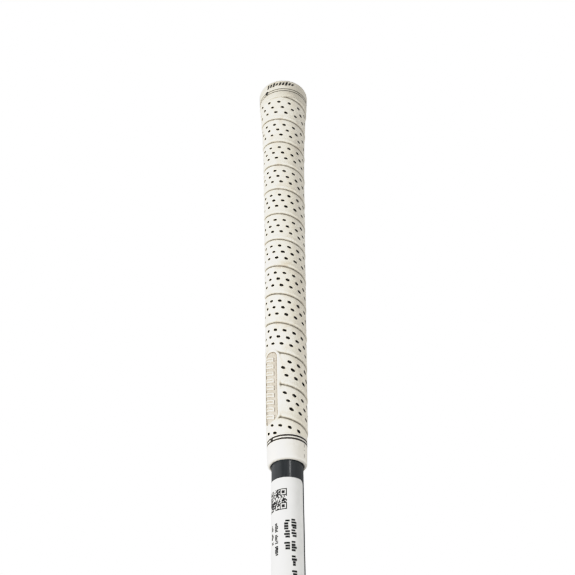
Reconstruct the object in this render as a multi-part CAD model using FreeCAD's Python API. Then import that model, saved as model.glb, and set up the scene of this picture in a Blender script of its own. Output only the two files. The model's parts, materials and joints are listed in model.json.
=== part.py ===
import FreeCAD, Part
import math
import os

# A wrapped golf grip, fitted on the butt end of its shaft. Millimetres.
# The origin is the centre of the shaft's cut end and +Z runs along the shaft, up to the butt cap.
# Angles run round the shaft from the front, -Y, towards +X.

# --- shaft and tape -------------------------------------------------------------------------
SHAFT_R = 7.62            # 0.600 in butt
SHAFT_WALL = 1.27
STUB_LENGTH = 90.0        # bare shaft below the grip's mouth
TAPE_THICKNESS = 0.16
TAPE_SETBACK = 2.0        # the tape stops this far inside the mouth

# --- stock label on the bare shaft ----------------------------------------------------------
LABEL_THICKNESS = 0.12
LABEL_LENGTH = 62.0
LABEL_GAP = 9.0           # bare shaft between the mouth and the label
LABEL_FROM_DEG = -145.0
LABEL_TO_DEG = 63.0

# --- grip: overall --------------------------------------------------------------------------
GRIP_LENGTH = 258.0
CAP_HEIGHT = 15.5
COLLAR_HEIGHT = 13.2
SKIN_THICKNESS = 0.9      # perforated polyurethane
FELT_THICKNESS = 0.5      # its non-woven backing

# --- grip: outline of the wrapped part --------------------------------------------------------
LOW_R = 10.14             # straight taper's radius at the lower end of the wrap
TAPER = 0.00893           # radius gained per millimetre towards the cap
FLARE = 1.92              # extra radius where the wrap meets the cap
FLARE_LENGTH = 22.6
WAIST = 0.32              # radius lost where the wrap runs down to the collar
WAIST_LENGTH = 6.0

# --- grip: the wound strip --------------------------------------------------------------------
PITCH = 18.443            # one left-handed turn, seen with the cap up
SEAM_GAP = 0.5
SEAM_BEVEL = 0.5          # the strip's edges are skived down by this much
BEVEL_WIDTH = 1.5
STEPS_PER_TURN = 20

# --- butt cap ---------------------------------------------------------------------------------
CAP_R = 14.7
CAP_DISC = 3.0            # solid end above the shaft
CAP_ROUND = 3.4
CAP_WALL = 2.7
VENT_R = 1.25
FACE_RECESS_R = 9.0
FACE_RECESS_DEPTH = 0.4

# --- inlaid lines and marks ---------------------------------------------------------------------
INLAY_DEPTH = 0.35
CAP_RING_WIDTH = 0.6
COLLAR_RING_WIDTH = 0.9
CAP_RINGS_BELOW_TOP = (9.2, 10.8)
COLLAR_RINGS_ABOVE_MOUTH = (10.4, 12.0)
CAP_DOT_R = 1.0
CAP_DOT_DEG = -43.0
COLLAR_BAR_WIDTH = 1.4
COLLAR_BAR_DEG = -48.0
TICK_COUNT = 9
TICK_SIZE = (1.1, 2.6)    # along the rim, along the shaft
TICK_STEP_DEG = 7.6
TICK_MIDDLE_DEG = -7.0
TICK_BELOW_TOP = 5.0

# --- mouth collar -------------------------------------------------------------------------------
COLLAR_TOP_R = 9.8
COLLAR_LOW_R = 9.5
COLLAR_LIP = 1.6

# --- badge panel --------------------------------------------------------------------------------
BADGE_DEG = -56.0
BADGE_SIZE = (10.3, 41.0)        # across, along the shaft
BADGE_BOW = 2.0                  # the ends bulge by this much
BADGE_CORNER_R = 1.6
BADGE_BORDER = 1.4
BADGE_LOW_ABOVE_MOUTH = 20.4
BADGE_FLOOR_DEPTH = 0.6
MOTIF_COUNT = 9
MOTIF_SIZE = (6.6, 2.3)
MOTIF_SLANT = -1.5        # the blocks run down towards the front
MOTIF_BELOW_SURFACE = 0.12

# --- levels worked out from the above -------------------------------------------------------------
MOUTH_Z = STUB_LENGTH
TOP_Z = MOUTH_Z + GRIP_LENGTH
SEAT_Z = TOP_Z - CAP_DISC
WRAP_TOP_Z = TOP_Z - CAP_HEIGHT
WRAP_LOW_Z = MOUTH_Z + COLLAR_HEIGHT
CORE_R = SHAFT_R + TAPE_THICKNESS
BADGE_LOW_Z = MOUTH_Z + BADGE_LOW_ABOVE_MOUTH
BADGE_MIDDLE_Z = BADGE_LOW_Z + BADGE_SIZE[1] / 2
FAR = 40.0                # beyond the outside of every piece


def wrap_radius(z):
    """Outside radius of the wrapped part at height z."""
    straight = LOW_R + TAPER * (z - WRAP_LOW_Z)
    flare = FLARE * math.exp((z - WRAP_TOP_Z) / FLARE_LENGTH)
    waist = WAIST * math.exp((WRAP_LOW_Z - z) / WAIST_LENGTH)
    return straight + flare - waist


def cap_radius(z):
    """Outside radius of the cap's skirt, a straight flare up to its rounded edge."""
    share = (z - WRAP_TOP_Z) / (TOP_Z - CAP_ROUND - WRAP_TOP_Z)
    return wrap_radius(WRAP_TOP_Z) + share * (CAP_R - wrap_radius(WRAP_TOP_Z))


def at(radius, z):
    """A point of a turned outline."""
    return FreeCAD.Vector(radius, 0, z)


def line(start, end):
    return Part.LineSegment(start, end).toShape()


def turned(edges):
    """The solid that a closed outline of edges sweeps round the shaft."""
    face = Part.Face(Part.Wire(edges))
    return face.revolve(FreeCAD.Vector(0, 0, 0), FreeCAD.Vector(0, 0, 1), 360)


def outline(points):
    """Straight edges through the points, closed."""
    return [line(points[i - 1], points[i]) for i in range(1, len(points))] + [line(points[-1], points[0])]


def tube(inner, outer, low, high):
    """A straight tube round the shaft."""
    ring = Part.makeCylinder(outer, high - low, FreeCAD.Vector(0, 0, low))
    return ring.cut(Part.makeCylinder(inner, high - low, FreeCAD.Vector(0, 0, low)))


def wrap_curve(depth, low, high, step=12.0):
    """The wrap's outline, depth below its surface, as one smooth edge from low to high."""
    count = max(4, round((high - low) / step))
    levels = [low + (high - low) * i / count for i in range(count + 1)]
    curve = Part.BSplineCurve()
    curve.interpolate([at(wrap_radius(z) - depth, z) for z in levels])
    return curve.toShape()


def wrap_layer(outer_depth, inner_depth, low, high):
    """A sleeve that follows the wrap's outline between two depths."""
    outer = wrap_curve(outer_depth, low, high)
    inner = wrap_curve(inner_depth, low, high)
    ends = [
        line(at(wrap_radius(z) - inner_depth, z), at(wrap_radius(z) - outer_depth, z))
        for z in (low, high)
    ]
    return turned([ends[0], outer, ends[1], inner])


def round_the_shaft(radius, degrees, z):
    """A point at an angle from the front."""
    turn = math.radians(degrees)
    return FreeCAD.Vector(radius * math.sin(turn), -radius * math.cos(turn), z)


def facing(shape, degrees):
    """A shape drawn at the front, turned round the shaft to an angle."""
    turned_shape = shape.copy()
    turned_shape.rotate(FreeCAD.Vector(0, 0, 0), FreeCAD.Vector(0, 0, 1), degrees)
    return turned_shape


def front_prism(points, degrees):
    """A flat outline of (across, up) points on the front, pushed in to the shaft's middle."""
    corners = [FreeCAD.Vector(x, -FAR, z) for x, z in points]
    face = Part.Face(Part.makePolygon(corners + corners[:1]))
    return facing(face.extrude(FreeCAD.Vector(0, FAR, 0)), degrees)


# --- shaft ------------------------------------------------------------------------------------

def shaft():
    return tube(SHAFT_R - SHAFT_WALL, SHAFT_R, 0, SEAT_Z - TAPE_THICKNESS)


def grip_tape():
    """Two-sided tape round the shaft, turned in over its rim."""
    bore = SHAFT_R - SHAFT_WALL
    rim = SEAT_Z - TAPE_THICKNESS
    return turned(outline([
        at(SHAFT_R, MOUTH_Z + TAPE_SETBACK),
        at(CORE_R, MOUTH_Z + TAPE_SETBACK),
        at(CORE_R, SEAT_Z),
        at(bore, SEAT_Z),
        at(bore, rim),
        at(SHAFT_R, rim),
    ]))


def shaft_label():
    """Paper label wrapped part of the way round the bare shaft."""
    high = MOUTH_Z - LABEL_GAP
    low = high - LABEL_LENGTH
    outer_r = SHAFT_R + LABEL_THICKNESS
    section = [
        line(round_the_shaft(SHAFT_R, LABEL_FROM_DEG, low), round_the_shaft(outer_r, LABEL_FROM_DEG, low)),
        label_arc(outer_r, low),
        line(round_the_shaft(outer_r, LABEL_TO_DEG, low), round_the_shaft(SHAFT_R, LABEL_TO_DEG, low)),
        label_arc(SHAFT_R, low),
    ]
    return Part.Face(Part.Wire(section)).extrude(FreeCAD.Vector(0, 0, high - low))


def label_arc(radius, z):
    middle = (LABEL_FROM_DEG + LABEL_TO_DEG) / 2
    stops = [round_the_shaft(radius, angle, z) for angle in (LABEL_FROM_DEG, middle, LABEL_TO_DEG)]
    return Part.Arc(*stops).toShape()


# --- grip body --------------------------------------------------------------------------------

def underlisting():
    """Rubber sleeve that the strip is wound on, with a spigot up into the cap."""
    depth = SKIN_THICKNESS + FELT_THICKNESS
    low_r = wrap_radius(WRAP_LOW_Z) - depth
    top_r = wrap_radius(WRAP_TOP_Z) - depth
    spigot_r = wrap_radius(WRAP_TOP_Z) - CAP_WALL
    return turned([
        line(at(CORE_R, WRAP_LOW_Z), at(low_r, WRAP_LOW_Z)),
        wrap_curve(depth, WRAP_LOW_Z, WRAP_TOP_Z),
        line(at(top_r, WRAP_TOP_Z), at(spigot_r, WRAP_TOP_Z)),
        line(at(spigot_r, WRAP_TOP_Z), at(spigot_r, SEAT_Z)),
        line(at(spigot_r, SEAT_Z), at(CORE_R, SEAT_Z)),
        line(at(CORE_R, SEAT_Z), at(CORE_R, WRAP_LOW_Z)),
    ])


def strip_point(turns, across, depth):
    """A point of the wound strip: turns from the cap, share of its width from the top, depth."""
    z = WRAP_TOP_Z - PITCH * (turns + across)
    level = min(max(z, WRAP_LOW_Z), WRAP_TOP_Z)
    return round_the_shaft(wrap_radius(level) - depth, 360 * turns, z)


def strip_edge(turns, across, depth):
    """A smooth edge that runs along the strip."""
    curve = Part.BSplineCurve()
    curve.interpolate(Points=[strip_point(turn, across, depth) for turn in turns], Parameters=turns)
    return curve


def strip_side(first, second):
    """The face that joins two edges of the strip by straight lines across it."""
    side = Part.BSplineSurface()
    side.buildFromPolesMultsKnots(
        [first.getPoles(), second.getPoles()],
        [2, 2],
        first.getMultiplicities(),
        [0, 1],
        first.getKnots(),
        False,
        False,
        1,
        first.Degree,
    )
    return side.toShape()


def strip_section(outer_depth, inner_depth, bevel):
    """Corners of the strip's cross-section as (share of its width, depth), all the way round."""
    side = SEAM_GAP / 2 / PITCH
    inset = side + BEVEL_WIDTH / PITCH
    shares = [side, inset, 0.5, 1 - inset, 1 - side]
    top = [(share, outer_depth + bevel * (share in (side, 1 - side))) for share in shares]
    return top + [(share, inner_depth) for share in reversed(shares)]


def wound_strip(outer_depth, inner_depth, bevel):
    """A left-handed strip with a gap at each seam, cut square at the cap and the collar."""
    turns_total = (WRAP_TOP_Z - WRAP_LOW_Z) / PITCH + 2
    count = round(turns_total * STEPS_PER_TURN)
    turns = [-1 + turns_total * i / count for i in range(count + 1)]
    section = strip_section(outer_depth, inner_depth, bevel)
    edges = [strip_edge(turns, share, depth) for share, depth in section]
    faces = [strip_side(edges[i - 1], edges[i]) for i in range(len(edges))]
    for turn in (turns[0], turns[-1]):
        corners = [strip_point(turn, share, depth) for share, depth in section]
        faces.append(Part.Face(Part.makePolygon(corners + corners[:1])))
    skin = Part.makeCompound(faces)
    skin.sewShape()
    strip = Part.makeSolid(skin.Shells[0])
    if strip.Volume < 0:
        strip = strip.reversed()
    band = Part.makeCylinder(FAR, WRAP_TOP_Z - WRAP_LOW_Z, FreeCAD.Vector(0, 0, WRAP_LOW_Z))
    return strip.common(band)


def felt_backing():
    return wound_strip(SKIN_THICKNESS, SKIN_THICKNESS + FELT_THICKNESS, 0.0)


def wrap_strip():
    """Perforated polyurethane strip, open where the badge panel sits in it."""
    return wound_strip(0.0, SKIN_THICKNESS, SEAM_BEVEL).cut(badge_prism(BADGE_BORDER))


# --- butt cap ---------------------------------------------------------------------------------

def cap_blank():
    """The cap before its marks are inlaid."""
    skirt_r = wrap_radius(WRAP_TOP_Z)
    spigot_r = skirt_r - CAP_WALL
    edge_z = TOP_Z - CAP_ROUND
    flat_r = CAP_R - CAP_ROUND
    bulge = CAP_ROUND * math.sqrt(0.5)
    rounding = Part.Arc(at(CAP_R, edge_z), at(flat_r + bulge, edge_z + bulge), at(flat_r, TOP_Z))
    recess_z = TOP_Z - FACE_RECESS_DEPTH
    return turned([
        line(at(VENT_R, SEAT_Z), at(spigot_r, SEAT_Z)),
        line(at(spigot_r, SEAT_Z), at(spigot_r, WRAP_TOP_Z)),
        line(at(spigot_r, WRAP_TOP_Z), at(skirt_r, WRAP_TOP_Z)),
        line(at(skirt_r, WRAP_TOP_Z), at(CAP_R, edge_z)),
        rounding.toShape(),
        line(at(flat_r, TOP_Z), at(FACE_RECESS_R, TOP_Z)),
        line(at(FACE_RECESS_R, TOP_Z), at(FACE_RECESS_R, recess_z)),
        line(at(FACE_RECESS_R, recess_z), at(VENT_R, recess_z)),
        line(at(VENT_R, recess_z), at(VENT_R, SEAT_Z)),
    ])


def inlay_zone(radius_at, low, high):
    """The thin outer layer of a straight-sided skirt, as deep as an inlay."""
    return turned(outline([
        at(radius_at(low) - INLAY_DEPTH, low),
        at(radius_at(low), low),
        at(radius_at(high), high),
        at(radius_at(high) - INLAY_DEPTH, high),
    ]))


def inlaid_ring(radius_at, middle, width):
    return inlay_zone(radius_at, middle - width / 2, middle + width / 2)


def cap_ring(number):
    return inlaid_ring(cap_radius, TOP_Z - CAP_RINGS_BELOW_TOP[number], CAP_RING_WIDTH)


def cap_index_dot():
    """Round alignment mark that sits across the upper ring."""
    middle = TOP_Z - CAP_RINGS_BELOW_TOP[0]
    zone = inlay_zone(cap_radius, middle - CAP_DOT_R, middle + CAP_DOT_R)
    pin = Part.makeCylinder(CAP_DOT_R, FAR, FreeCAD.Vector(0, 0, middle), FreeCAD.Vector(0, -1, 0))
    return zone.common(facing(pin, CAP_DOT_DEG))


def cap_ticks():
    """A row of plain upright dashes on the cap's rim."""
    width, height = TICK_SIZE
    middle = TOP_Z - TICK_BELOW_TOP
    zone = inlay_zone(cap_radius, middle - height / 2, middle + height / 2)
    corners = [(-width / 2, middle - height), (width / 2, middle - height)]
    corners += [(width / 2, middle + height), (-width / 2, middle + height)]
    ticks = []
    for number in range(TICK_COUNT):
        angle = TICK_MIDDLE_DEG + (number - (TICK_COUNT - 1) / 2) * TICK_STEP_DEG
        ticks.append(zone.common(front_prism(corners, angle)))
    return Part.makeCompound(ticks)


def butt_cap():
    marks = [cap_ring(0), cap_ring(1), cap_index_dot(), cap_ticks()]
    return cap_blank().cut(marks)


# --- mouth collar -------------------------------------------------------------------------------

def collar_blank():
    """The collar before its marks are inlaid."""
    lip_r = COLLAR_LOW_R - COLLAR_LIP
    bulge = COLLAR_LIP * math.sqrt(0.5)
    lip_z = MOUTH_Z + COLLAR_LIP
    lip = Part.Arc(at(lip_r, MOUTH_Z), at(lip_r + bulge, lip_z - bulge), at(COLLAR_LOW_R, lip_z))
    return turned([
        line(at(CORE_R, WRAP_LOW_Z), at(CORE_R, MOUTH_Z)),
        line(at(CORE_R, MOUTH_Z), at(lip_r, MOUTH_Z)),
        lip.toShape(),
        line(at(COLLAR_LOW_R, lip_z), at(COLLAR_TOP_R, WRAP_LOW_Z)),
        line(at(COLLAR_TOP_R, WRAP_LOW_Z), at(CORE_R, WRAP_LOW_Z)),
    ])


def collar_side(z):
    """Outside radius of the collar's straight side, from the lip to its top."""
    low = MOUTH_Z + COLLAR_LIP
    share = (z - low) / (WRAP_LOW_Z - low)
    return COLLAR_LOW_R + share * (COLLAR_TOP_R - COLLAR_LOW_R)


def collar_ring(number):
    return inlaid_ring(collar_side, MOUTH_Z + COLLAR_RINGS_ABOVE_MOUTH[number], COLLAR_RING_WIDTH)


def collar_index_bar():
    """Short alignment mark that joins the two collar rings."""
    low = MOUTH_Z + COLLAR_RINGS_ABOVE_MOUTH[0] + COLLAR_RING_WIDTH / 2
    high = MOUTH_Z + COLLAR_RINGS_ABOVE_MOUTH[1] - COLLAR_RING_WIDTH / 2
    half = COLLAR_BAR_WIDTH / 2
    corners = [(-half, low - 1), (half, low - 1), (half, high + 1), (-half, high + 1)]
    return inlay_zone(collar_side, low, high).common(front_prism(corners, COLLAR_BAR_DEG))


def mouth_collar():
    return collar_blank().cut([collar_ring(0), collar_ring(1), collar_index_bar()])


# --- badge panel --------------------------------------------------------------------------------

def badge_prism(border=0.0):
    """Upright panel outline with bowed ends, grown by a border, pushed in from outside."""
    half = BADGE_SIZE[0] / 2 + border
    tall = BADGE_SIZE[1] / 2 + border
    corner = tall - BADGE_BOW
    middle = BADGE_MIDDLE_Z
    corners = [FreeCAD.Vector(x, -FAR, middle + z) for x, z in
               [(-half, -corner), (half, -corner), (half, corner), (-half, corner)]]
    ends = [FreeCAD.Vector(0, -FAR, middle + z) for z in (-tall, tall)]
    edges = [
        Part.Arc(corners[0], ends[0], corners[1]).toShape(),
        line(corners[1], corners[2]),
        Part.Arc(corners[2], ends[1], corners[3]).toShape(),
        line(corners[3], corners[0]),
    ]
    block = Part.Face(Part.Wire(edges)).extrude(FreeCAD.Vector(0, FAR, 0))
    upright = [edge for edge in block.Edges if edge.BoundBox.YLength > FAR / 2]
    return facing(block.makeFillet(BADGE_CORNER_R + border, upright), BADGE_DEG)


def badge_zone(outer_depth, inner_depth):
    """The wrap's layer between two depths, over the badge's height."""
    reach = BADGE_SIZE[1] / 2 + BADGE_BORDER + 0.05
    return wrap_layer(outer_depth, inner_depth, BADGE_MIDDLE_Z - reach, BADGE_MIDDLE_Z + reach)


def badge_frame():
    """Smooth moulded border that the strip's seams run into."""
    solid = badge_zone(0.0, SKIN_THICKNESS).common(badge_prism(BADGE_BORDER))
    return solid.cut(badge_prism())


def badge_plate():
    """Tinted floor of the recess."""
    return badge_zone(BADGE_FLOOR_DEPTH, SKIN_THICKNESS).common(badge_prism())


def badge_motif():
    """Raised slanted blocks in one column, a plain pattern with no lettering."""
    zone = badge_zone(MOTIF_BELOW_SURFACE, BADGE_FLOOR_DEPTH)
    half = MOTIF_SIZE[0] / 2
    step = (BADGE_SIZE[1] - 2 * BADGE_BOW) / MOTIF_COUNT
    blocks = []
    for number in range(MOTIF_COUNT):
        middle = BADGE_MIDDLE_Z + (number - (MOTIF_COUNT - 1) / 2) * step
        low = middle - MOTIF_SIZE[1] / 2
        high = middle + MOTIF_SIZE[1] / 2
        corners = [(-half, low - MOTIF_SLANT), (half, low + MOTIF_SLANT)]
        corners += [(half, high + MOTIF_SLANT), (-half, high - MOTIF_SLANT)]
        blocks.append(zone.common(front_prism(corners, BADGE_DEG)))
    return Part.makeCompound(blocks)


NODES = {
    "shaft": shaft,
    "grip_tape": grip_tape,
    "shaft_label": shaft_label,
    "underlisting": underlisting,
    "felt_backing": felt_backing,
    "wrap_strip": wrap_strip,
    "butt_cap": butt_cap,
    "cap_ring_upper": lambda: cap_ring(0).cut(cap_index_dot()),
    "cap_ring_lower": lambda: cap_ring(1),
    "cap_index_dot": cap_index_dot,
    "cap_tick_marks": cap_ticks,
    "mouth_collar": mouth_collar,
    "collar_ring_lower": lambda: collar_ring(0),
    "collar_ring_upper": lambda: collar_ring(1),
    "collar_index_bar": collar_index_bar,
    "badge_frame": badge_frame,
    "badge_plate": badge_plate,
    "badge_motif": badge_motif,
}

os.makedirs("parts", exist_ok=True)
for name, make in NODES.items():
    shape = make()
    shape.exportStep("parts/" + name + ".step")
    print(name, len(shape.Solids), "solids", round(shape.Volume, 1), "mm3", shape.isValid())
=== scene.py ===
import json
import math
import random

import bmesh
import bpy
import numpy as np
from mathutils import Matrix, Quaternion, Vector

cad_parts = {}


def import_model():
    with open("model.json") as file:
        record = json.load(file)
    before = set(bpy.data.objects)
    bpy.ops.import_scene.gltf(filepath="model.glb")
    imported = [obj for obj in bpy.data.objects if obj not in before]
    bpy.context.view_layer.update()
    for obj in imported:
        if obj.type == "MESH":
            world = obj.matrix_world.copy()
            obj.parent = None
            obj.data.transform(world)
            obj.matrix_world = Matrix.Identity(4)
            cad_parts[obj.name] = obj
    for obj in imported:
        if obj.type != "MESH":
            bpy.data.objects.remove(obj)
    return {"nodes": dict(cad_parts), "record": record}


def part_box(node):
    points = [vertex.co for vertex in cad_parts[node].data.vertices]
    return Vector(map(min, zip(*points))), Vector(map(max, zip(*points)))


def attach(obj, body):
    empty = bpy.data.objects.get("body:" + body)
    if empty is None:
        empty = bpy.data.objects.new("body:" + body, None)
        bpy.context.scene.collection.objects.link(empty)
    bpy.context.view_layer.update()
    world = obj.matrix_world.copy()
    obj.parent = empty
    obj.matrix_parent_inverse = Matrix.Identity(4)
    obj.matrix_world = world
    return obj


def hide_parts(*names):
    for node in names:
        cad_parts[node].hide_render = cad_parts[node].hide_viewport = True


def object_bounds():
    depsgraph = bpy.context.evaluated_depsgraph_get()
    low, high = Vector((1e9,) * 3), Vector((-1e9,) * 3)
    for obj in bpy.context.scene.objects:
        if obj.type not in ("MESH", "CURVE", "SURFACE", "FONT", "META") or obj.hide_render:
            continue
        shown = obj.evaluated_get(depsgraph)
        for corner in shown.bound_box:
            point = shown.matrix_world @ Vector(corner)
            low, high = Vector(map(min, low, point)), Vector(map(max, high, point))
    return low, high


# The visual model of a wrapped golf grip on its shaft. Shapes are worked out in millimetres, round
# the shaft's axis, and turned into metres when a mesh is made. Angles run round the shaft from the
# front, -Y, towards +X, in degrees.

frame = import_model()
cad_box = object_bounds()

MM = 0.001


def span(node):
    """Lowest and highest level of a CAD node, in millimetres."""
    low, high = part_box(node)
    return low.z / MM, high.z / MM


# --- levels and sizes, from the frame ---
WRAP_LOW, WRAP_TOP = span("wrap_strip")
MOUTH, COLLAR_TOP = span("mouth_collar")
CAP_TOP = span("butt_cap")[1]
SHAFT_TOP = span("shaft")[1]
LABEL_LOW, LABEL_TOP = span("shaft_label")
SHAFT_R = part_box("shaft")[1].x / MM
BORE_R = frame["record"]["mounts"][0]["dims"]["r_mm"]
CORE_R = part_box("grip_tape")[1].x / MM
CAP_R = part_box("butt_cap")[1].x / MM
CAP_RING_LEVELS = [sum(span(node)) / 2 for node in ("cap_ring_upper", "cap_ring_lower")]
COLLAR_RING_LEVELS = [sum(span(node)) / 2 for node in ("collar_ring_upper", "collar_ring_lower")]
BADGE_LOW, BADGE_TOP = span("badge_plate")
BADGE_MIDDLE = (BADGE_LOW + BADGE_TOP) / 2
TICK_LOW, TICK_TOP = span("cap_tick_marks")

# Levels between which shade is painted on: darker on the cap's rounded edge and on the collar's lip.
EDGE_PAINTED_SHADE = (CAP_TOP - 3.0, CAP_TOP - 1.7)
LIP_PAINTED_SHADE = (MOUTH + 0.1, MOUTH + 0.9)

# --- the wrap's outline, as in the CAD part ---
LOW_R = 10.14
TAPER = 0.00893
FLARE = 1.92
FLARE_LENGTH = 22.6
WAIST = 0.32
WAIST_LENGTH = 6.0

# --- the wound strip ---
PITCH = 18.443
SKIN = 0.9                # thickness of the polyurethane
COLUMNS = 162             # mesh columns in a turn
SEAM_DEPTH = 0.55
SEAM_HALF_WIDTH = 0.5
SEAM_LIP = 0.19           # bulge of the strip's lower edge, just above each seam
SEAM_LIP_PLACE = 1.5
SEAM_LIP_WIDTH = 1.05
SEAM_STEP = 0.25          # the next turn starts this much lower
SEAM_STEP_LENGTH = 1.9
UNEVEN = 0.03
SPARE_COLUMNS = 38        # mesh columns past one turn before the wrap's top
SPARE_LENGTH = 3.0        # and how far the mesh runs on below its foot

# --- perforations ---
HOLE_STEP = 26.62         # degrees between the holes of one row
HOLE_PHASE = 1.8
HOLE_ROWS = (0.2535, 0.479, 0.7045)  # shares of the pitch below a seam
HOLE_SIZE = (1.1, 0.92)   # half length along the strip, half width across it
HOLE_DEPTH = 0.7
HOLE_EDGE = 0.06          # depth of the rounding round each hole
HOLE_CELL = 0.53          # height of the mesh cells about a row of holes
HOLE_BLOCK = (3, 2)       # mesh cells taken up each way from a hole's centre
HOLE_EDGE_GAP = 0.95      # nearest that a hole's centre comes to either end of the wrap

# --- badge panel ---
BADGE_DEG = -56.0
BADGE_HALF = 5.15
BADGE_BOW = 2.0
BADGE_CORNER = 1.6
BADGE_BORDER = 1.1
BADGE_FADE = 0.9
BADGE_FLOOR_DEPTH = 0.6
BADGE_SIDE_GAP = 2.45     # nearest a hole comes beside the panel
BADGE_END_GAP = 1.3       # nearest a hole comes above or below it
BADGE_LINE_WIDTH = 0.42
RIM_DEPTH = 0.16          # rounding of the recess's rim
RIM_WIDTH = 0.28
FORK_DEPTH = 0.4          # dent where a seam runs into the panel's border
FORK_PLACE = BADGE_BORDER + 0.4
FORK_WIDTH = 0.32
FORK_LENGTH = 1.7
MOTIF_COUNT = 9
MOTIF_SIZE = (6.6, 2.3)
MOTIF_SLANT = -1.5
# A block's section: distance in from its edge, and depth below the wrap's outline.
MOTIF_PROFILE = [(0.0, BADGE_FLOOR_DEPTH + 0.05), (0.0, 0.3), (0.15, 0.12), (0.62, 0.12), (0.75, 0.4)]

# --- dirt, stains and painted shade on the skin ---
SEAM_DIRT_AND_SHADE_WIDTH = 0.62
FORK_DIRT_AND_SHADE_WIDTH = 0.4
CAP_JOIN_DIRT_AND_SHADE_WIDTH = 0.5
SEAM_SOIL_WIDTH = 3.2
PANEL_SOIL_FROM = 1.5
PANEL_SOIL_WIDTH = 3.5

# --- cap and collar ---
CAP_EDGE = 3.4            # the cap's rounded edge
COLLAR_LOW_R = 9.5
COLLAR_TOP_R = 9.8
COLLAR_LIP = 1.6
LINE_GROOVE = 0.06        # depth of the moulded lines
TICK_HEIGHTS = [1.15, 0.95, 1.15, 0.7, 0.95, 0.9, 1.15, 0.8, 0.65]  # shares of the CAD's height
FLASH_SPANS = [(0.18, 0.42), (0.55, 0.62), (0.72, 0.92)]  # shares of the way up the collar

# --- label ---
LABEL_FROM, LABEL_TO = -145.0, 63.0
LABEL_THICKNESS = 0.12
LABEL_CORNER = 2.0
LABEL_LIFT = 0.06         # the right-hand edge lifts by this much,
LABEL_LIFT_DEG = 9.0      # over this much of a turn
CODE_CELL = 0.5           # the printed block pattern
CODE_CELLS = 21
CODE_FRAME = 7
CODE_DARK = 0.68          # share of dark cells
CODE_RIGHT = -0.35
CODE_BELOW_TOP = 5.6

# Printed lines that run down the shaft: left and right edge round it, start below the label's top,
# length and width of a stroke.
LABEL_LINES = [
    (1.5, 3.9, 20.8, 39.7, 0.85),
    (-1.8, 0.8, 21.3, 16.3, 0.85),
    (-6.7, -4.7, 22.1, 16.4, 0.5),
    (-9.6, -7.7, 22.4, 9.7, 0.5),
]

# --- stage, in metres ---
WHITE_LEVEL = 1.45        # brightness of the backdrop, shown as pure white
LIGHT_LEVEL = 1.14        # strength of the world as a light
DARK_GAP = math.radians(-24)  # where the dark camera stands, as the shaft mirrors it
FLOOR_LEVEL = -0.75
FLOOR_HALF = 40.0
CAMERA_PLACE = (0.001145, -0.44698, -0.1495)
CAMERA_LOOK = (0, 0.7899, 0.6133)
CAMERA_ROLL = -0.743      # degrees
CAMERA_LENS = 66.31       # millimetres, on a 36 mm sensor


def wrap_radius(z):
    """Outside radius of the wrapped part, without seams; z may be an array."""
    level = np.clip(z, WRAP_LOW, WRAP_TOP)
    straight = LOW_R + TAPER * (level - WRAP_LOW)
    flare = FLARE * np.exp((level - WRAP_TOP) / FLARE_LENGTH)
    waist = WAIST * np.exp((WRAP_LOW - level) / WAIST_LENGTH)
    return straight + flare - waist


def smooth_step(value):
    share = np.clip(value, 0, 1)
    return share * share * (3 - 2 * share)


def bell(value, width):
    """1 where the value is 0, fading to nothing within about two widths."""
    return np.exp(-((value / width) ** 2))


def across_badge(angle, z):
    """How far a point lies to the side of the badge's middle line, seen square on."""
    turn = np.radians((angle - BADGE_DEG + 180) % 360 - 180)
    side = wrap_radius(z) * np.sin(np.clip(turn, -math.pi / 2, math.pi / 2))
    behind = np.abs(turn) > math.pi / 2
    return np.where(behind, 1.5 * side, side)  # the far side counts as well outside the panel


def badge_distance(angle, z):
    """Distance outside the badge panel's outline; negative inside it."""
    side = across_badge(angle, z)
    bowed = BADGE_BOW * np.clip(side / BADGE_HALF, -1, 1) ** 2
    out_x = np.abs(side) - BADGE_HALF + BADGE_CORNER
    out_z = np.abs(z - BADGE_MIDDLE) - ((BADGE_TOP - BADGE_LOW) / 2 - bowed - BADGE_CORNER)
    corner = np.hypot(np.maximum(out_x, 0), np.maximum(out_z, 0))
    return corner + np.minimum(np.maximum(out_x, out_z), 0) - BADGE_CORNER


def badge_reach(side, grow=0.0):
    """Half the badge's height at a distance from its middle line: bowed ends, rounded corners."""
    half = BADGE_HALF + grow
    corner = BADGE_CORNER + grow
    into = max(abs(side) - (half - corner), 0)
    rounding = corner - math.sqrt(max(corner ** 2 - into ** 2, 0))
    return (BADGE_TOP - BADGE_LOW) / 2 + grow - BADGE_BOW * (side / half) ** 2 - rounding


def below_seam(angle, z):
    """Distance below the nearest seam above, from 0 to the pitch."""
    return (WRAP_TOP - z - PITCH * angle / 360) % PITCH


def seam_offset(angle, z):
    """Signed distance from the nearest seam, positive below it."""
    below = below_seam(angle, z)
    return np.where(below > PITCH / 2, below - PITCH, below)


def skin_relief(angle, z):
    """Height of the skin above the plain outline: seams, lips, panel border and slight waves."""
    offset = seam_offset(angle, z)
    below = below_seam(angle, z)
    away = badge_distance(angle, z)
    clear = smooth_step((away - BADGE_BORDER) / BADGE_FADE)
    groove = -SEAM_DEPTH * bell(offset, SEAM_HALF_WIDTH)
    lip = SEAM_LIP * bell(PITCH - below - SEAM_LIP_PLACE, SEAM_LIP_WIDTH)
    step = -SEAM_STEP * np.exp(-below / SEAM_STEP_LENGTH)
    fork = -FORK_DEPTH * bell(away - FORK_PLACE, FORK_WIDTH) * bell(offset, FORK_LENGTH)
    rim = -RIM_DEPTH * bell(np.maximum(away, 0), RIM_WIDTH)
    turn = np.radians(angle)
    waves = UNEVEN * (np.sin(3 * turn + z / 7.3) + np.sin(2 * turn - z / 11.9 + 1.3)) / 2
    return clear * (groove + lip + step + waves) + fork + rim


def skin_radius(angle, z):
    return wrap_radius(z) + skin_relief(angle, z)


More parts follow.
